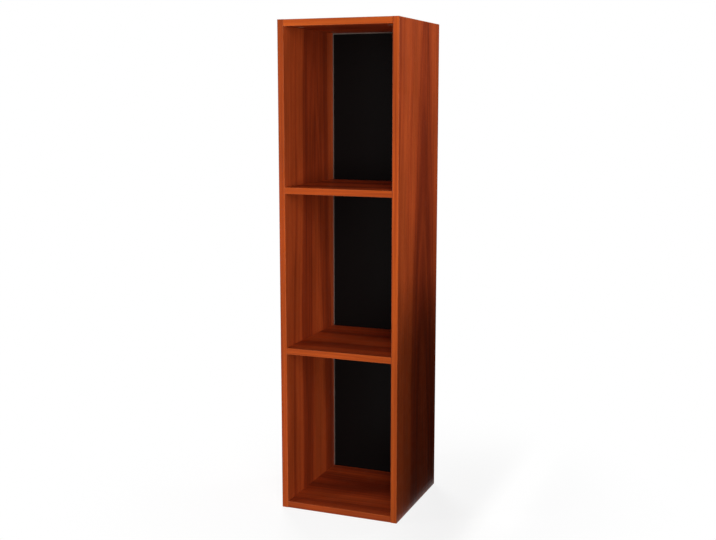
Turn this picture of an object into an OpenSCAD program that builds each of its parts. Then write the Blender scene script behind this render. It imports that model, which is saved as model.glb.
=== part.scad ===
// Tall open storage shelf: a knock-down cabinet of six edge-banded boards and an
// inset back panel, held together by dowels, cam locks and back screws.
// Millimetres. +Z is up and the open front faces -Y. The origin is on the floor,
// under the middle of the cabinet.

/* [Cabinet] */
// Width over the outer faces of the two sides
cabinet_w = 305; // [240:1:400]
// Depth from the front edges to the rear edges
cabinet_d = 300; // [240:1:400]
// Height of the sides, which run from the floor to the top
cabinet_h = 1200; // [600:1:1600]
// Thickness of every board: sides, top, shelves and bottom
board_t = 16; // [15:0.5:22]

/* [Edge bands] */
// Thickness of the bands glued to the visible board edges
band_t = 2; // [0.4:0.1:3]
// Radius of the long outer corners of a band
band_corner_r = 1.5; // [0.1:0.1:3]

/* [Back panel] */
// Thickness of the back panel
back_t = 3; // [2.5:0.1:5]
// Clearance between the back panel and each side
back_side_gap = 0.5; // [0.1:0.1:2]
// Clearance between the back panel and the top board
back_top_gap = 0.1; // [0.1:0.1:2]
// Height of the back panel's lower edge above the floor
back_foot_gap = 2; // [0:0.5:4]
// Width of the bevel round the front of the back panel
back_bevel_w = 3; // [0.5:0.1:4]
// Depth of that bevel
back_bevel_t = 1; // [0.2:0.1:1.5]

/* [Back screws] */
// Number of screws in each row
screw_count = 3; // [2:1:5]
// Distance from the outer screws to the inner faces of the sides
screw_inset = 36; // [20:1:60]
// Length of a screw, with its head
screw_len = 16; // [12:1:25]
// Diameter of the screw's shank
screw_d = 3; // [2.5:0.1:3.5]
// Diameter of the countersunk head
screw_head_d = 6; // [5:0.1:7]
// Height of the head's cone
screw_head_h = 1.7; // [1:0.1:2.3]
// Width of the cross recess in the head
screw_recess_w = 0.8; // [0.4:0.1:1]
// Depth of the cross recess
screw_recess_t = 0.9; // [0.4:0.1:0.9]

/* [Fittings] */
// Distance of the cam locks from the front and rear edges
cam_edge = 50; // [35:1:60]
// Distance from each cam lock to the dowel beside it
dowel_pitch = 32; // [20:1:40]
// Height of bolt and dowel axes above a board's underside
fitting_axis = 8; // [7:0.1:8.5]
// Depth of the plain holes in the sides for the cam bolts
bolt_hole_depth = 11.5; // [11.5:0.5:12.5]
// Diameter of a dowel
dowel_d = 8; // [6:0.1:8]
// Length of a dowel
dowel_len = 30; // [25:1:40]
// How far a dowel enters the side
dowel_in_side = 11; // [8:0.5:12]
// Space left past each end of a dowel
dowel_end_gap = 0.5; // [0.2:0.1:1.5]
// Number of glue grooves round a dowel
dowel_grooves = 10; // [6:1:14]
// Radius of a glue groove
dowel_groove_r = 0.4; // [0.2:0.1:0.6]

/* [Cam locks] */
// Distance from a board's end to the middle of its cam lock
cam_setback = 24; // [22:0.5:34]
// Diameter of the cam lock
cam_d = 15; // [14:0.1:16]
// Height of the cam lock
cam_h = 12.5; // [12.2:0.1:13]
// How far the cam lock's face sits inside the board
cam_recess = 0.2; // [0:0.1:0.5]
// Wall of the cam lock round its hollow
cam_wall = 2.3; // [1.5:0.1:2.6]
// Width of the cross slot for the screwdriver
cam_slot_w = 1.4; // [0.8:0.1:2]
// Length of the cross slot
cam_slot_len = 8; // [5:0.1:11]
// Depth of the cross slot
cam_slot_t = 2.5; // [1:0.1:3]

/* [Cam bolts] */
// Diameter of the bolt's thread
bolt_thread_d = 6; // [5:0.1:6.5]
// Depth of the thread
bolt_thread_t = 0.5; // [0.2:0.1:0.7]
// Pitch of the thread's ridges
bolt_pitch = 2.2; // [1.5:0.1:3]
// Length of the threaded part
bolt_thread_len = 11; // [10:0.1:11.2]
// Diameter of the collar that seats on the side
bolt_collar_d = 7.4; // [6.5:0.1:7.6]
// Length of the collar
bolt_collar_len = 2.5; // [1:0.1:4]
// Diameter of the shaft
bolt_shaft_d = 6; // [5:0.1:6.5]
// Diameter of the neck that the cam lock grips
bolt_neck_d = 4; // [3:0.1:4.5]
// Diameter of the head
bolt_head_d = 6.4; // [5.5:0.1:6.8]
// Length of the head
bolt_head_len = 2.6; // [2:0.1:3.5]

/* [Hidden] */
$fn = 48;

// Clearances on the diameter of round fits
fit_gap = 0.1;
hollow_gap = 0.6;
// Overrun of cutting shapes past the faces they open
cut = 1;
// Space above a cam lock at the end of its bore
cam_roof_gap = 0.3;
// Arc of the cam lock's slot, from the bolt's seat to the way in for its head
cam_slot_arc = 120;

// Compartments are of equal height, and boards are counted from the floor up
bay_count = 3;
BOTTOM = 0;
LOWER = BOTTOM + 1;
UPPER = LOWER + 1;
TOP = bay_count;
bay_h = (cabinet_h - (bay_count + 1) * board_t) / bay_count;
function board_z(level) = level * (bay_h + board_t);

inner_w = cabinet_w - 2 * board_t;
front_y = -cabinet_d / 2;
rear_y = cabinet_d / 2;
core_front_y = front_y + band_t;
back_front_y = rear_y - back_t;
corner_r = min(band_corner_r, band_t);

// Depths of the fittings, the same in boards and sides
cam_ys = [front_y + cam_edge, rear_y - cam_edge];
dowel_ys = [cam_ys[0] + dowel_pitch, cam_ys[1] - dowel_pitch];
ends = [-1, 1];

dowel_in_board = dowel_len - dowel_in_side;
dowel_hole_d = dowel_d + fit_gap;
bolt_bore_d = bolt_collar_d + hollow_gap;
cam_bore_d = cam_d + fit_gap;
cam_bore_depth = cam_recess + cam_h + cam_roof_gap;
cam_hollow_r = cam_d / 2 - cam_wall;
screw_span = inner_w - 2 * screw_inset;

// Puts its children on the axis that runs into a board's end at [y, level].
// There +Z points from the side's inner face towards the middle of the board.
module at_board_end(end, y, level)
    translate([end * inner_w / 2, y, board_z(level) + fitting_axis])
        rotate([0, -90 * end, 0]) children();

// Puts its children on the screw axes of one row. There +Z points to the front.
module at_back_screws(level)
    for (i = [0 : screw_count - 1])
        translate([
            screw_span * (i / (screw_count - 1) - 0.5), rear_y, board_z(level) + board_t / 2
        ])
            rotate([90, 0, 0]) children();

// A band as wide as a board is thick, along +Z, with its visible face at -Y
module band_strip(length)
    linear_extrude(length) difference() {
        translate([-board_t / 2, 0]) square([board_t, band_t]);
        for (side = [0, 1])
            mirror([side, 0]) translate([-board_t / 2, 0]) difference() {
                translate([-cut, -cut]) square(cut + corner_r);
                translate([corner_r, corner_r]) circle(corner_r);
            }
    }

module side_panel(end) {
    side_x = end * (cabinet_w - board_t) / 2;
    color("sienna") difference() {
        translate([side_x - board_t / 2, core_front_y, 0])
            cube([board_t, rear_y - core_front_y, cabinet_h - band_t]);
        for (level = [BOTTOM : TOP]) {
            for (y = cam_ys)
                at_board_end(end, y, level)
                    translate([0, 0, -bolt_hole_depth])
                        cylinder(h = bolt_hole_depth + cut, d = bolt_thread_d + fit_gap);
            for (y = dowel_ys)
                at_board_end(end, y, level)
                    translate([0, 0, -dowel_in_side - dowel_end_gap])
                        cylinder(h = dowel_in_side + dowel_end_gap + cut, d = dowel_hole_d);
        }
    }
}

module side_front_band(end)
    color("chocolate")
        translate([end * (cabinet_w - board_t) / 2, front_y, 0]) band_strip(cabinet_h);

module side_top_band(end)
    color("chocolate")
        translate([end * (cabinet_w - board_t) / 2, rear_y, cabinet_h])
            rotate([90, 0, 0]) mirror([0, 1, 0]) band_strip(rear_y - core_front_y);

module board_front_band(level)
    color("chocolate")
        translate([-inner_w / 2, front_y, board_z(level) + board_t / 2])
            rotate([90, 0, 90]) rotate([0, 0, -90]) band_strip(inner_w);

// A board between the sides, open underneath for its four cam locks
module board(level, board_rear_y)
    difference() {
        translate([-inner_w / 2, core_front_y, board_z(level)])
            cube([inner_w, board_rear_y - core_front_y, board_t]);
        for (end = ends) {
            for (y = cam_ys) {
                at_board_end(end, y, level)
                    translate([0, 0, -cut]) cylinder(h = cut + cam_setback, d = bolt_bore_d);
                translate([end * (inner_w / 2 - cam_setback), y, board_z(level) - cut])
                    cylinder(h = cut + cam_bore_depth, d = cam_bore_d);
            }
            for (y = dowel_ys)
                at_board_end(end, y, level)
                    translate([0, 0, -cut])
                        cylinder(h = cut + dowel_in_board + dowel_end_gap, d = dowel_hole_d);
        }
        if (board_rear_y < rear_y)
            at_back_screws(level) cylinder(h = screw_len + fit_gap, d = screw_d + fit_gap);
    }

// One edge of the back panel's bevel, as a cutting wedge along +Z
module bevel_wedge(length)
    translate([0, 0, -cut])
        linear_extrude(length + 2 * cut)
            polygon([
                [-cut, -cut], [back_bevel_w * (1 + cut / back_bevel_t), -cut],
                [-cut, back_bevel_t * (1 + cut / back_bevel_w)]
            ]);

module back_panel() {
    panel_w = inner_w - 2 * back_side_gap;
    panel_h = board_z(TOP) - back_top_gap - back_foot_gap;
    color([0.06, 0.06, 0.06]) difference() {
        translate([-panel_w / 2, back_front_y, back_foot_gap]) cube([panel_w, back_t, panel_h]);
        for (side = [0, 1])
            mirror([side, 0, 0])
                translate([-panel_w / 2, back_front_y, back_foot_gap]) bevel_wedge(panel_h);
        translate([-panel_w / 2, back_front_y, back_foot_gap + panel_h])
            rotate([0, 90, 0]) bevel_wedge(panel_w);
        translate([panel_w / 2, back_front_y, back_foot_gap])
            rotate([0, -90, 0]) bevel_wedge(panel_w);
        for (level = [BOTTOM : UPPER])
            at_back_screws(level) {
                translate([0, 0, -cut]) cylinder(h = back_t + 2 * cut, d = screw_d + 2 * fit_gap);
                cylinder(h = screw_head_h, d1 = screw_head_d, d2 = screw_d);
            }
    }
}

// The head's rim is a shade narrower than the countersink it lies in
module back_screws(level)
    color("silver") at_back_screws(level) difference() {
        rotate_extrude() polygon([
            [0, 0], [screw_head_d / 2 - fit_gap, 0], [screw_d / 2, screw_head_h],
            [screw_d / 2, screw_len - screw_d], [0, screw_len]
        ]);
        for (turn = [0, 90])
            rotate(turn)
                translate([-screw_head_d / 4, -screw_recess_w / 2, -cut])
                    cube([screw_head_d / 2, screw_recess_w, cut + screw_recess_t]);
    }

// A dowel stands in the side and in the board's end, with its grooves round it
module dowels(level) {
    chamfer = dowel_d / 10;
    color("burlywood") for (end = ends, y = dowel_ys)
        at_board_end(end, y, level) translate([0, 0, -dowel_in_side]) difference() {
            rotate_extrude() polygon([
                [0, 0], [dowel_d / 2 - chamfer, 0], [dowel_d / 2, chamfer],
                [dowel_d / 2, dowel_len - chamfer], [dowel_d / 2 - chamfer, dowel_len],
                [0, dowel_len]
            ]);
            for (i = [0 : dowel_grooves - 1])
                rotate(i * 360 / dowel_grooves)
                    translate([dowel_d / 2, 0, -cut])
                        cylinder(h = dowel_len + 2 * cut, r = dowel_groove_r, $fn = 16);
        }
}

// A cam bolt from its tip in the side to the head in the cam lock's hollow.
// The head's rim bears on the inside of the hollow, beside the slot.
module cam_bolts(level) {
    root_r = bolt_thread_d / 2 - bolt_thread_t;
    crest_r = bolt_thread_d / 2;
    ridge_count = floor(bolt_thread_len / bolt_pitch);
    head_start = cam_setback - sqrt(cam_hollow_r ^ 2 - (bolt_head_d / 2) ^ 2) + fit_gap;
    head_end = head_start + bolt_head_len;
    head_chamfer = (bolt_head_d - bolt_neck_d) / 2;
    shaft_end = cam_setback - cam_d / 2 - fit_gap;
    color("gainsboro") for (end = ends, y = cam_ys)
        at_board_end(end, y, level) rotate_extrude() polygon(concat(
            [[0, -bolt_thread_len]],
            [for (i = [0 : ridge_count - 1], corner = [[root_r, 0], [crest_r, 0.5], [root_r, 1]])
                [corner[0], -bolt_thread_len + (i + corner[1]) * bolt_pitch]],
            [
                [root_r, 0], [bolt_collar_d / 2, 0], [bolt_collar_d / 2, bolt_collar_len],
                [bolt_shaft_d / 2, bolt_collar_len], [bolt_shaft_d / 2, shaft_end],
                [bolt_neck_d / 2, shaft_end], [bolt_neck_d / 2, head_start],
                [bolt_head_d / 2, head_start], [bolt_head_d / 2, head_end - head_chamfer],
                [bolt_neck_d / 2, head_end], [0, head_end]
            ]
        ));
}

// A cam lock: a drum with its screwdriver slot underneath, a hollow for the
// bolt's head, a way in for that head, and a narrower slot from there to the
// place where the neck lies when the lock is tight
module cam_locks(level) {
    axis_h = fitting_axis - cam_recess;
    slot_h = bolt_neck_d + hollow_gap;
    hollow_h = bolt_head_d + hollow_gap;
    slot_reach = cam_d;
    color("lightgray") for (end = ends, y = cam_ys)
        translate([
            end * (inner_w / 2 - cam_setback), y, board_z(level) + cam_recess
        ])
            rotate(end > 0 ? 0 : 180) difference() {
                cylinder(h = cam_h, d = cam_d);
                translate([0, 0, axis_h - hollow_h / 2]) cylinder(h = hollow_h, r = cam_hollow_r);
                translate([0, 0, axis_h]) rotate([0, 90, cam_slot_arc])
                    cylinder(h = slot_reach, d = bolt_head_d + 2 * fit_gap);
                translate([0, 0, axis_h - slot_h / 2]) linear_extrude(slot_h) {
                    translate([0, -slot_h / 2]) square([slot_reach, slot_h]);
                    polygon(concat(
                        [[0, 0]],
                        [for (a = [0 : cam_slot_arc / 4 : cam_slot_arc])
                            slot_reach * [cos(a), sin(a)]]
                    ));
                }
                for (turn = [0, 90])
                    rotate(turn)
                        translate([-cam_slot_len / 2, -cam_slot_w / 2, -cut])
                            cube([cam_slot_len, cam_slot_w, cut + cam_slot_t]);
            }
}

module left_side_panel() side_panel(-1);
module right_side_panel() side_panel(1);
module top_panel() color("sienna") board(TOP, rear_y);
module upper_shelf() color("sienna") board(UPPER, back_front_y);
module lower_shelf() color("sienna") board(LOWER, back_front_y);
module bottom_panel() color("sienna") board(BOTTOM, back_front_y);

left_side_panel();
right_side_panel();
top_panel();
upper_shelf();
lower_shelf();
bottom_panel();
back_panel();
side_front_band(-1);  // left_side_front_band
side_front_band(1);  // right_side_front_band
side_top_band(-1);  // left_side_top_band
side_top_band(1);  // right_side_top_band
board_front_band(TOP);  // top_panel_front_band
board_front_band(UPPER);  // upper_shelf_front_band
board_front_band(LOWER);  // lower_shelf_front_band
board_front_band(BOTTOM);  // bottom_panel_front_band
dowels(TOP);  // top_panel_dowels
dowels(UPPER);  // upper_shelf_dowels
dowels(LOWER);  // lower_shelf_dowels
dowels(BOTTOM);  // bottom_panel_dowels
cam_bolts(TOP);  // top_panel_cam_bolts
cam_bolts(UPPER);  // upper_shelf_cam_bolts
cam_bolts(LOWER);  // lower_shelf_cam_bolts
cam_bolts(BOTTOM);  // bottom_panel_cam_bolts
cam_locks(TOP);  // top_panel_cam_locks
cam_locks(UPPER);  // upper_shelf_cam_locks
cam_locks(LOWER);  // lower_shelf_cam_locks
cam_locks(BOTTOM);  // bottom_panel_cam_locks
back_screws(UPPER);  // upper_shelf_back_screws
back_screws(LOWER);  // lower_shelf_back_screws
back_screws(BOTTOM);  // bottom_panel_back_screws
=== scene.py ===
import math

import bpy
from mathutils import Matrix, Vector

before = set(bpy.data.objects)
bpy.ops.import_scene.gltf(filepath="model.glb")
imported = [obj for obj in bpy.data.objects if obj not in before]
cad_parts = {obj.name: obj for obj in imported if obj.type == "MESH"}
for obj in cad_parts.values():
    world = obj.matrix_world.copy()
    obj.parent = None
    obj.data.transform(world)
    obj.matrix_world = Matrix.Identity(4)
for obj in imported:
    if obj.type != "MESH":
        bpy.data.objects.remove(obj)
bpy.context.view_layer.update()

# Camera, in metres, degrees and millimetres of lens: eye level a little below the top
CAMERA_PLACE = (0.981, -2.499, 1.013)
CAMERA_YAW = 21.57
CAMERA_PITCH = -8.94
CAMERA_LENS = 54.36
SENSOR_WIDTH = 36.0

# Floor: a pale disc just under the cabinet that turns pure white within a metre, sizes in metres
FLOOR_RADIUS = 9.0
FLOOR_DROP = 0.0003
FLOOR_SEGMENTS = 96
FLOOR_FADE_SPAN = (0.2, 0.85)
FLOOR_GLOW = 0.86
FLOOR_COLOUR = (0.18, 0.18, 0.18, 1.0)
FLOOR_BOUNCE_COLOUR = (0.08, 0.08, 0.08, 1.0)

# World: white to the camera and in reflections, and a plain studio for everything else
WHITE = (1.0, 1.0, 1.0, 1.0)
STUDIO_COLOUR = (1.0, 0.98, 0.96, 1.0)
STUDIO_STRENGTH = 0.03

# Softboxes: name, place, point that it faces, width, height and power
SOFTBOXES = (
    ("key", (1.5, -2.6, 1.9), (0.0, 0.0, 0.75), 1.2, 1.2, 26.0),
    ("low_key", (1.1, -2.8, 0.7), (0.0, 0.0, 0.5), 1.0, 1.0, 56.0),
    ("side", (1.35, 0.35, 1.35), (0.15, 0.05, 0.80), 0.7, 0.7, 6.0),
    ("rear_side", (0.8, 1.0, 2.0), (0.15, 0.12, 1.1), 0.4, 0.4, 6.0),
    ("left_strip", (-1.9, -1.5, 0.85), (-0.05, -0.15, 0.75), 0.35, 1.3, 16.0),
    ("rear", (-1.7, 2.4, 1.7), (0.0, 0.1, 0.6), 1.4, 1.4, 70.0),
)
# Softboxes that light without a glare on satin faces seen at a low angle
WITHOUT_GLARE = ("key", "low_key", "rear")

# Flag: a dark card that stands beside the right side and shades its lower rear part
FLAG_X = 0.36
FLAG_FRONT = -0.60
FLAG_REAR = 1.10
FLAG_LOW = 0.06
FLAG_HIGH = 0.665
# Screen: dark walls and a dark cloth to the right and rear, which only reflections show
SCREEN_LEFT = 0.16
SCREEN_RIGHT = 3.0
SCREEN_FRONT = -0.60
SCREEN_REAR = 4.0
SCREEN_LOW = 0.001
SCREEN_HIGH = 4.0
CARD_COLOUR = (0.01, 0.01, 0.01, 1.0)

# Wood tones, from the light of the grain to its dark lines
FACE_TONES = ((0.54, 0.090, 0.020), (0.39, 0.055, 0.013), (0.21, 0.026, 0.008))
BAND_TONES = ((0.58, 0.106, 0.014), (0.46, 0.074, 0.010), (0.27, 0.036, 0.007))

# Grain, in metres across, along and through the leaf: the size of each kind of figure
BEND_SIZE = (0.22, 0.85, 0.011)
RIPPLE_SIZE = (0.030, 0.16, 0.011)
STREAK_SIZE = (0.0050, 0.90, 0.011)
CLOUD_SIZE = (0.05, 0.24, 0.011)
FIBRE_SIZE = (0.0011, 0.09, 0.0011)
PORE_SIZE = (0.0006, 0.011, 0.0006)
# How far bends and ripples push the rings aside, and the widths of growth zones and rings
BEND = 0.085
RIPPLE = 0.006
ZONE_WIDTH = 0.050
RING_WIDTH = 0.0085
# Shares of zones, rings and streaks in the figure
ZONE_SHARE = 0.50
RING_SHARE = 0.26
STREAK_SHARE = 0.24
# A span is a pair of limits. Most values of a noise lie in this one, around this middle
NOISE_SPAN = (0.3, 0.7)
NOISE_MIDDLE = 0.5
# The figure's darkest and lightest values, and the place of the middle tone between them
FIGURE_SPAN = (0.34, 0.66)
MIDDLE_PLACE = 0.45
# Streaks that show as thin dark lines, and how dark those get
LINE_SPAN = (0.62, 0.72)
LINE_SHARE = 0.45
# Lightness that clouds and fibres give to the colour
CLOUD_LIGHTNESS = (0.88, 1.10)
FIBRE_SPAN = (0.25, 0.75)
FIBRE_LIGHTNESS = (0.86, 1.12)
# Pores: where they lie, how dark they get, and the height of fibres beside their depth
PORE_SPAN = (0.63, 0.74)
PORE_SHARE = 0.55
FIBRE_HEIGHT = 0.5

# Faced boards: gloss, roughness and softened edges, with sizes in metres
BOARD_SPECULAR = 0.10
BOARD_ROUGHNESS = (0.36, 0.46)
BOARD_SATIN_SIZE = (0.03, 0.03, 0.03)
BOARD_BUMP = 0.00006
BOARD_EDGE_RADIUS = 0.0005
# A board's bare edges begin where the surface stops facing along its thickness, and are rougher
BARE_SPAN = (0.9, 0.8)
BARE_EXTRA_ROUGHNESS = 0.4

# Edge bands: gloss, roughness and heart, and the painted highlight on their rounded corners
BAND_SPECULAR = 0.14
BAND_ROUGHNESS = (0.30, 0.40)
BAND_SATIN_SIZE = (0.02, 0.02, 0.02)
BAND_BUMP = 0.00004
BAND_HEART = (0.0, 0.05, 0.004)
CORNER_SPAN = (0.985, 0.90)
# Painted highlight: the pale tone of the rounded corners, the noise span where it shows, and its
# strongest share
CORNER_HIGHLIGHT_TONE = (0.54, 0.22, 0.125)
CORNER_HIGHLIGHT_SPAN = (0.3, 0.6)
CORNER_HIGHLIGHT_SHARE = 0.2

# Chipboard on the bare edges
CHIP_SIZE = (0.0042, 0.0042, 0.0019)
CHIP_TONES = ((0.20, 0.115, 0.055), (0.40, 0.26, 0.14), (0.56, 0.41, 0.25))
DUST_TONE = (0.13, 0.072, 0.034)
DUST_SCALE = 900.0
DUST_SPAN = (0.52, 0.72)
DUST_SHARE = 0.6

# Hardboard back: black lacquer in front, bare fibre on the bevel, brown press side behind
BACK_SPECULAR = 0.05
BACK_ROUGHNESS = (0.33, 0.42)
BACK_BUMP = 0.00008
BACK_FIBRE_SIZE = (0.0016, 0.0016, 0.0016)
LACQUER_TONES = ((0.0035, 0.0030, 0.0030), (0.0060, 0.0052, 0.0050))
BEVEL_TONES = ((0.10, 0.078, 0.066), (0.17, 0.140, 0.122))
PRESS_TONES = ((0.085, 0.042, 0.021), (0.21, 0.115, 0.062))
PRESS_TONE_SPAN = (0.25, 0.75)
PRESS_MESH = 0.0016
MESH_LIGHTNESS = (0.88, 1.06)
MOTTLE_SIZE = (0.05, 0.05, 0.05)
MOTTLE_LIGHTNESS = (0.86, 1.1)
# How much the surface faces to the rear where the press side begins and where the bevel begins
REAR_SPAN = (0.5, 0.9)
BEVEL_SPAN = (-0.99, -0.96)

# Beech dowels
BEECH_TONES = ((0.50, 0.32, 0.17), (0.66, 0.47, 0.28))
BEECH_FIBRE_SIZE = (0.02, 0.0007, 0.0007)
BEECH_ROUGHNESS = (0.55, 0.7)
BEECH_BUMP = 0.00005
FLECK_SIZE = (0.003, 0.0004, 0.0004)
FLECK_TONE = (0.30, 0.16, 0.08)
FLECK_SPAN = (0.6, 0.7)
FLECK_SHARE = 0.5

# Zinc fittings: dark and light tone, and the size of the mottle
BOLT_ZINC = ((0.50, 0.50, 0.47), (0.68, 0.68, 0.64), 0.0012)
LOCK_ZINC = ((0.42, 0.42, 0.42), (0.58, 0.58, 0.57), 0.0008)
SCREW_ZINC = ((0.46, 0.45, 0.40), (0.66, 0.64, 0.57), 0.0010)
ZINC_ROUGHNESS = (0.26, 0.36)
HANDLING_MARK_SIZE = (0.0002, 0.004, 0.0002)
HANDLING_ROUGHNESS = 0.14
ZINC_BUMP = 0.00001

# Sides: the heart that wood_grain takes, and the grain seeds of panel, front band and top band
SIDES = (
    ("left_side", (0.04, 0.02, 0.04), 52.7, 9.92, 41.1),
    ("right_side", (0.046, 0.047, 0.045), 7.4, 38.69, 44.2),
)
# Boards from the top down, and the grain seed of their front bands
BOARDS = (("top_panel", 4.03), ("upper_shelf", 12.68), ("lower_shelf", 40.36), ("bottom_panel", 26.52))
# The top board's heart and grain seed, and how much they change from board to board
BOARD_HEART = (-0.05, 0.04, 0.05)
HEART_STEP = 0.02
BOARD_SEED = 12.3
BOARD_SEED_STEP = 1.7


def rgba(colour):
    """The colour with full opacity."""
    return (*colour, 1.0)


def add(tree, kind, inputs, **settings):
    """Adds a node. An input is a value or another node's output."""
    made = tree.nodes.new("ShaderNode" + kind)
    for key, value in settings.items():
        setattr(made, key, value)
    for key, value in inputs.items():
        if isinstance(value, bpy.types.NodeSocket):
            tree.links.new(value, made.inputs[key])
        else:
            made.inputs[key].default_value = value
    return made


def calc(tree, operation, a, b=0.0):
    """One step of arithmetic on one or two values."""
    return add(tree, "Math", {0: a, 1: b}, operation=operation).outputs[0]


def total(tree, *products):
    """The sum of products, each given as a pair."""
    found = 0.0
    for a, b in products:
        found = add(tree, "Math", {0: a, 1: b, 2: found}, operation="MULTIPLY_ADD").outputs[0]
    return found


def mix(tree, factor, a, b, blend="MIX"):
    """Blends colour a with colour b. The numbers are the node's colour sockets."""
    inputs = {"Factor": factor, 6: a, 7: b}
    return add(tree, "Mix", inputs, data_type="RGBA", blend_type=blend).outputs[2]


def remap(tree, value, span, to=(0.0, 1.0)):
    """Smoothly takes the span to another one, and stays level outside."""
    inputs = {"Value": value, "From Min": span[0], "From Max": span[1], "To Min": to[0], "To Max": to[1]}
    return add(tree, "MapRange", inputs, interpolation_type="SMOOTHSTEP").outputs[0]


def ramp(tree, factor, stops):
    """Colours by a factor; stops are pairs of position and colour."""
    made = add(tree, "ValToRGB", {"Fac": factor})
    elements = made.color_ramp.elements
    # New stops start in the middle, and each is then moved to its own place
    while len(elements) < len(stops):
        elements.new(0.5)
    for element, (place, colour) in zip(elements, stops):
        element.position = place
        element.color = rgba(colour)
    return made.outputs["Color"]


def two_tones(tree, factor, tones, span=NOISE_SPAN):
    """From the first tone to the second as the factor crosses the span."""
    return ramp(tree, factor, tuple(zip(span, tones)))


def shaded(tree, colour, value, span, lightness):
    """The colour times a lightness that follows the value."""
    grey = remap(tree, value, span, lightness)
    grey = add(tree, "CombineColor", {"Red": grey, "Green": grey, "Blue": grey}).outputs[0]
    return mix(tree, 1.0, colour, grey, "MULTIPLY")


def noise(tree, vector, scale=1.0, detail=2.0, roughness=0.5):
    """Smooth noise over a vector."""
    inputs = {"Vector": vector, "Scale": scale, "Detail": detail, "Roughness": roughness}
    return add(tree, "TexNoise", inputs).outputs[0]


def stretched(tree, vector, sizes, shift=(0.0, 0.0, 0.0)):
    """A vector whose unit is sizes metres along each of its axes."""
    inputs = {"Vector": vector, "Scale": tuple(1.0 / s for s in sizes), "Location": shift}
    return add(tree, "Mapping", inputs).outputs[0]


def position(tree):
    """The place on the object, in metres from its origin."""
    return add(tree, "TexCoord", {}).outputs["Object"]


def axis_of(tree, vector, axis):
    """What the vector measures along one axis."""
    return add(tree, "SeparateXYZ", {"Vector": vector}).outputs["XYZ".index(axis)]


def facing(tree, axis):
    """How much the surface faces along an axis, from -1 to 1."""
    return axis_of(tree, add(tree, "NewGeometry", {}).outputs["True Normal"], axis)


def material(name):
    """A material with one Principled shader, and its tree and shader node."""
    made = bpy.data.materials.new(name)
    made.use_nodes = True
    tree = made.node_tree
    return made, tree, tree.nodes["Principled BSDF"]


def connect(tree, shader, colour, roughness, height, bump_distance, edge_radius=0.0):
    """Puts colour, roughness and bump into the shader, and softens edges where a radius is given."""
    inputs = {"Height": height, "Distance": bump_distance, "Strength": 1.0}
    if edge_radius:
        inputs["Normal"] = add(tree, "Bevel", {"Radius": edge_radius}, samples=4).outputs[0]
    bump = add(tree, "Bump", inputs).outputs[0]
    tree.links.new(colour, shader.inputs["Base Color"])
    tree.links.new(roughness, shader.inputs["Roughness"])
    tree.links.new(bump, shader.inputs["Normal"])


def wood_grain(tree, along, across, tones, heart, seed):
    """Colour and height of sliced wood, from the rings of a tree whose pith runs beside the leaf.

    along and across are the axes of the grain and of the leaf's width. heart is the place
    of the pith across the leaf, its distance behind the leaf and its drift per metre."""
    middle, behind, drift = heart
    place = position(tree)
    third = "XYZ".replace(along, "").replace(across, "")
    parts = [axis_of(tree, place, axis) for axis in (across, along, third)]
    leaf = add(tree, "CombineXYZ", dict(zip("XYZ", parts))).outputs[0]
    # Slow bends and fine ripples of the rings along the leaf
    bends = noise(tree, stretched(tree, leaf, BEND_SIZE, (seed, 0.0, 0.0)), detail=1.0)
    ripples = noise(tree, stretched(tree, leaf, RIPPLE_SIZE, (0.0, seed, 0.0)), detail=2.0)
    wander = total(tree, (bends, BEND), (ripples, RIPPLE), (1.0, -NOISE_MIDDLE * (BEND + RIPPLE)))
    sideways = calc(tree, "ADD", calc(tree, "SUBTRACT", parts[0], middle), wander)
    depth = calc(tree, "ADD", calc(tree, "MULTIPLY", parts[1], drift), behind)
    radius = calc(tree, "SQRT", total(tree, (sideways, sideways), (depth, depth)))
    # Broad zones of slow and quick growth, the rings in them, and straight streaks
    zones = along_radius(tree, radius, seed, ZONE_WIDTH, 1.0)
    rings = along_radius(tree, radius, seed, RING_WIDTH, 2.0)
    streaks = noise(tree, stretched(tree, leaf, STREAK_SIZE, (seed, seed, 0.0)), detail=2.0)
    growth = total(tree, (zones, ZONE_SHARE), (rings, RING_SHARE), (streaks, STREAK_SHARE))
    light, middle_tone, dark = tones
    stops = ((0.0, dark), (MIDDLE_PLACE, middle_tone), (1.0, light))
    colour = ramp(tree, remap(tree, growth, FIGURE_SPAN), stops)
    # Thin dark lines here and there
    lines = remap(tree, streaks, LINE_SPAN, (0.0, LINE_SHARE))
    colour = mix(tree, lines, colour, rgba(dark))
    # Cloudy change of lightness over the leaf
    cloud = noise(tree, stretched(tree, leaf, CLOUD_SIZE, (0.0, seed, 0.0)), detail=1.0)
    colour = shaded(tree, colour, cloud, NOISE_SPAN, CLOUD_LIGHTNESS)
    # Fibres and pores
    fibre = noise(tree, stretched(tree, leaf, FIBRE_SIZE), detail=3.0, roughness=0.7)
    colour = shaded(tree, colour, fibre, FIBRE_SPAN, FIBRE_LIGHTNESS)
    pores = noise(tree, stretched(tree, leaf, PORE_SIZE), detail=1.0)
    pores = remap(tree, pores, PORE_SPAN)
    colour = mix(tree, calc(tree, "MULTIPLY", pores, PORE_SHARE), colour, rgba(dark))
    height = calc(tree, "SUBTRACT", calc(tree, "MULTIPLY", fibre, FIBRE_HEIGHT), pores)
    return colour, height


def along_radius(tree, radius, seed, width, detail):
    """Smooth noise that changes with the distance from the pith alone."""
    place = {"X": calc(tree, "DIVIDE", radius, width), "Y": seed}
    return noise(tree, add(tree, "CombineXYZ", place).outputs[0], detail=detail)


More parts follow.
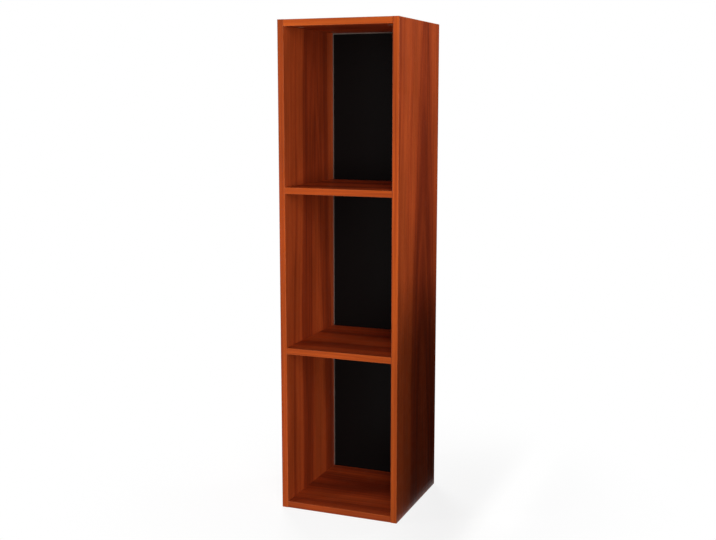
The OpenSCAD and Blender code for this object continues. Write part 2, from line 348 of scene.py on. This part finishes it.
def chipboard(tree):
    """Colour and height of the pressed chips on an unbanded edge."""
    place = stretched(tree, position(tree), CHIP_SIZE)
    chips = add(tree, "TexVoronoi", {"Vector": place, "Scale": 1.0, "Randomness": 1.0})
    tint = axis_of(tree, chips.outputs["Color"], "X")
    colour = ramp(tree, tint, tuple(zip((0.0, 0.5, 1.0), CHIP_TONES)))
    dust = noise(tree, position(tree), scale=DUST_SCALE, detail=3.0)
    colour = mix(tree, remap(tree, dust, DUST_SPAN, (0.0, DUST_SHARE)), colour, rgba(DUST_TONE))
    return colour, calc(tree, "ADD", tint, dust)


def board_material(name, along, across, heart, seed):
    """A faced board: veneer on its two faces, bare chipboard on the edges that have no band."""
    made, tree, shader = material(name)
    normal_axis = "XYZ".replace(along, "").replace(across, "")
    veneer, grain_height = wood_grain(tree, along, across, FACE_TONES, heart, seed)
    chips, chip_height = chipboard(tree)
    bare = remap(tree, calc(tree, "ABSOLUTE", facing(tree, normal_axis)), BARE_SPAN)
    colour = mix(tree, bare, veneer, chips)
    satin = noise(tree, stretched(tree, position(tree), BOARD_SATIN_SIZE), detail=3.0)
    roughness = remap(tree, satin, NOISE_SPAN, BOARD_ROUGHNESS)
    roughness = calc(tree, "ADD", roughness, calc(tree, "MULTIPLY", bare, BARE_EXTRA_ROUGHNESS))
    height = calc(tree, "ADD", grain_height, calc(tree, "MULTIPLY", bare, chip_height))
    connect(tree, shader, colour, roughness, height, BOARD_BUMP, BOARD_EDGE_RADIUS)
    shader.inputs["Specular IOR Level"].default_value = BOARD_SPECULAR
    return made


def band_material(name, along, across, seed):
    """An edge band: straighter and more orange grain than the faces, with a little more gloss."""
    made, tree, shader = material(name)
    colour, height = wood_grain(tree, along, across, BAND_TONES, BAND_HEART, seed)
    handling = noise(tree, stretched(tree, position(tree), BAND_SATIN_SIZE), detail=3.0)
    roughness = remap(tree, handling, NOISE_SPAN, BAND_ROUGHNESS)
    # The rounded corners are painted paler, a painted highlight along the arrises: there the surface
    # faces along no axis
    squareness = 0.0
    for axis in "XYZ":
        squareness = calc(tree, "MAXIMUM", squareness, calc(tree, "ABSOLUTE", facing(tree, axis)))
    corner = remap(tree, squareness, CORNER_SPAN)
    painted_highlight = remap(tree, handling, CORNER_HIGHLIGHT_SPAN, (0.0, CORNER_HIGHLIGHT_SHARE))
    colour = mix(tree, calc(tree, "MULTIPLY", corner, painted_highlight), colour, rgba(CORNER_HIGHLIGHT_TONE))
    connect(tree, shader, colour, roughness, height, BAND_BUMP)
    shader.inputs["Specular IOR Level"].default_value = BAND_SPECULAR
    return made


def back_material():
    """Hardboard: black satin lacquer in front, bare bevel, and the mesh print of the press behind."""
    made, tree, shader = material("back_hardboard")
    rearward = facing(tree, "Y")
    fibres = noise(tree, stretched(tree, position(tree), BACK_FIBRE_SIZE), detail=4.0, roughness=0.7)
    pale = two_tones(tree, fibres, BEVEL_TONES)
    lacquer = two_tones(tree, fibres, LACQUER_TONES)
    lines = []
    for axis in "XZ":
        turns = calc(tree, "MULTIPLY", axis_of(tree, position(tree), axis), 2 * math.pi / PRESS_MESH)
        lines.append(calc(tree, "SINE", turns))
    mesh = calc(tree, "MULTIPLY", *lines)
    mottle = noise(tree, stretched(tree, position(tree), MOTTLE_SIZE), detail=4.0)
    brown = two_tones(tree, fibres, PRESS_TONES, PRESS_TONE_SPAN)
    brown = shaded(tree, brown, mottle, NOISE_SPAN, MOTTLE_LIGHTNESS)
    brown = shaded(tree, brown, mesh, (-1.0, 1.0), MESH_LIGHTNESS)
    is_rear = remap(tree, rearward, REAR_SPAN)
    is_bevel = remap(tree, rearward, BEVEL_SPAN)
    colour = mix(tree, is_rear, mix(tree, is_bevel, lacquer, pale), brown)
    satin = remap(tree, fibres, NOISE_SPAN, BACK_ROUGHNESS)
    roughness = calc(tree, "ADD", satin, calc(tree, "MULTIPLY", is_bevel, BARE_EXTRA_ROUGHNESS))
    relief = calc(tree, "ADD", calc(tree, "MULTIPLY", mesh, is_rear), fibres)
    connect(tree, shader, colour, roughness, relief, BACK_BUMP)
    shader.inputs["Specular IOR Level"].default_value = BACK_SPECULAR
    return made


def dowel_material():
    """Beech, with its short darker flecks."""
    made, tree, shader = material("beech")
    place = position(tree)
    fibre = noise(tree, stretched(tree, place, BEECH_FIBRE_SIZE), detail=3.0)
    flecks = noise(tree, stretched(tree, place, FLECK_SIZE), detail=1.0)
    colour = two_tones(tree, fibre, BEECH_TONES)
    colour = mix(tree, remap(tree, flecks, FLECK_SPAN, (0.0, FLECK_SHARE)), colour, rgba(FLECK_TONE))
    roughness = remap(tree, fibre, NOISE_SPAN, BEECH_ROUGHNESS)
    connect(tree, shader, colour, roughness, fibre, BEECH_BUMP)
    return made


def metal_material(name, dark, light, grain):
    """Zinc: mottled crystals under fine marks of handling. grain is the size of the mottle."""
    made, tree, shader = material(name)
    place = position(tree)
    mottle = noise(tree, stretched(tree, place, (grain, grain, grain)), detail=3.0)
    marks = noise(tree, stretched(tree, place, HANDLING_MARK_SIZE), detail=2.0)
    colour = two_tones(tree, mottle, (dark, light))
    clean = remap(tree, mottle, NOISE_SPAN, ZINC_ROUGHNESS)
    roughness = calc(tree, "ADD", clean, calc(tree, "MULTIPLY", marks, HANDLING_ROUGHNESS))
    connect(tree, shader, colour, roughness, marks, ZINC_BUMP)
    shader.inputs["Metallic"].default_value = 1.0
    return made


def dress(node, made):
    """Puts a material on a CAD node, whose mesh stays as it is."""
    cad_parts[node].material_slots[0].material = made


def dress_all():
    """Gives each CAD node its material."""
    for side, heart, seed, front_seed, top_seed in SIDES:
        dress(side + "_panel", board_material(side + "_wood", "Z", "Y", heart, seed))
        dress(side + "_front_band", band_material(side + "_band_wood", "Z", "X", front_seed))
        dress(side + "_top_band", band_material(side + "_top_wood", "Y", "X", top_seed))
    middle, behind, drift = BOARD_HEART
    for place, (board, band_seed) in enumerate(BOARDS):
        heart = (middle + HEART_STEP * place, behind, drift)
        seed = BOARD_SEED + BOARD_SEED_STEP * place
        dress(board, board_material(board + "_wood", "X", "Y", heart, seed))
        dress(board + "_front_band", band_material(board + "_band_wood", "X", "Z", band_seed))
    dress("back_panel", back_material())
    fittings = {
        "dowels": dowel_material(),
        "cam_bolts": metal_material("zinc_plate", *BOLT_ZINC),
        "cam_locks": metal_material("cast_zinc", *LOCK_ZINC),
        "back_screws": metal_material("screw_zinc", *SCREW_ZINC),
    }
    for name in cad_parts:
        for kind, made in fittings.items():
            if name.endswith(kind):
                dress(name, made)


def make_floor():
    """A pale floor that keeps the cabinet's shadow. It gives off less light than it shows."""
    bpy.ops.mesh.primitive_circle_add(
        vertices=FLOOR_SEGMENTS, radius=FLOOR_RADIUS, fill_type="NGON", location=(0.0, 0.0, -FLOOR_DROP)
    )
    floor = bpy.context.object
    floor.name = "floor"
    made = bpy.data.materials.new("pale_floor")
    made.use_nodes = True
    tree = made.node_tree
    tree.nodes.clear()
    reach = add(tree, "VectorMath", {0: position(tree)}, operation="LENGTH").outputs["Value"]
    far = remap(tree, reach, FLOOR_FADE_SPAN)
    lit = add(tree, "BsdfDiffuse", {"Color": FLOOR_COLOUR}).outputs[0]
    glow = add(tree, "Emission", {"Color": WHITE, "Strength": FLOOR_GLOW}).outputs[0]
    near_floor = add(tree, "AddShader", {0: lit, 1: glow}).outputs[0]
    white = add(tree, "Emission", {"Color": WHITE, "Strength": 1.0}).outputs[0]
    shown = add(tree, "MixShader", {0: far, 1: near_floor, 2: white}).outputs[0]
    bounce = add(tree, "BsdfDiffuse", {"Color": FLOOR_BOUNCE_COLOUR}).outputs[0]
    mixed = add(tree, "MixShader", {0: background_share(tree), 1: bounce, 2: shown}).outputs[0]
    add(tree, "OutputMaterial", {"Surface": mixed})
    floor.data.materials.append(made)


def background_share(tree):
    """1 for rays that show the white background: the camera's, reflected and transmitted ones."""
    path = add(tree, "LightPath", {})
    seen = calc(tree, "MAXIMUM", path.outputs["Is Camera Ray"], path.outputs["Is Transmission Ray"])
    return calc(tree, "MAXIMUM", seen, path.outputs["Is Glossy Ray"])


def make_world():
    """The white background, and the faint studio that lights the rest."""
    world = bpy.data.worlds.new("studio")
    bpy.context.scene.world = world
    world.use_nodes = True
    tree = world.node_tree
    tree.nodes.clear()
    studio = add(tree, "Background", {"Color": STUDIO_COLOUR, "Strength": STUDIO_STRENGTH}).outputs[0]
    white = add(tree, "Background", {"Color": WHITE, "Strength": 1.0}).outputs[0]
    mixed = add(tree, "MixShader", {0: background_share(tree), 1: studio, 2: white}).outputs[0]
    add(tree, "OutputWorld", {"Surface": mixed})


def make_softboxes():
    """Flat lamps that the camera doesn't see."""
    for name, place, target, width, height, power in SOFTBOXES:
        light = bpy.data.lights.new(name, "AREA")
        light.shape = "RECTANGLE"
        light.size = width
        light.size_y = height
        light.energy = power
        made = bpy.data.objects.new(name, light)
        made.location = place
        made.visible_camera = False
        made.visible_glossy = name not in WITHOUT_GLARE
        made.rotation_euler = (Vector(target) - Vector(place)).to_track_quat("-Z", "Y").to_euler()
        bpy.context.scene.collection.objects.link(made)


def make_card(name, points, faces):
    """A dark card. It is no lamp and no part of the cabinet, and the camera doesn't see it."""
    mesh = bpy.data.meshes.new(name)
    mesh.from_pydata(points, [], faces)
    card = bpy.data.objects.new(name, mesh)
    bpy.context.scene.collection.objects.link(card)
    made, _, shader = material(name + "_black")
    shader.inputs["Base Color"].default_value = CARD_COLOUR
    shader.inputs["Specular IOR Level"].default_value = 0.0
    mesh.materials.append(made)
    card.visible_camera = False
    return card


def rectangle(low_a, high_a, low_b, high_b):
    """The four corners of a rectangle, in turn."""
    return ((low_a, low_b), (high_a, low_b), (high_a, high_b), (low_a, high_b))


def make_cards():
    """The flag, which shades the side, and the screen, which keeps white out of its sheen."""
    corners = rectangle(FLAG_FRONT, FLAG_REAR, FLAG_LOW, FLAG_HIGH)
    make_card("flag", [(FLAG_X, y, z) for y, z in corners], [range(len(corners))])
    plan = rectangle(SCREEN_LEFT, SCREEN_RIGHT, SCREEN_FRONT, SCREEN_REAR)
    points = [(x, y, z) for z in (SCREEN_LOW, SCREEN_HIGH) for x, y in plan]
    # Its floor cloth, its right wall and its rear wall
    screen = make_card("screen", points, [(0, 1, 2, 3), (1, 2, 6, 5), (2, 3, 7, 6)])
    screen.visible_diffuse = False
    screen.visible_shadow = False


def make_camera():
    """A camera in front and to the right, pitched a little down."""
    data = bpy.data.cameras.new("camera")
    data.sensor_width = SENSOR_WIDTH
    data.lens = CAMERA_LENS
    made = bpy.data.objects.new("camera", data)
    made.location = CAMERA_PLACE
    made.rotation_euler = (math.radians(90 + CAMERA_PITCH), 0.0, math.radians(CAMERA_YAW))
    bpy.context.scene.collection.objects.link(made)
    bpy.context.scene.camera = made


dress_all()
make_floor()
make_world()
make_softboxes()
make_cards()
make_camera()
bpy.context.scene.view_settings.view_transform = "Standard"
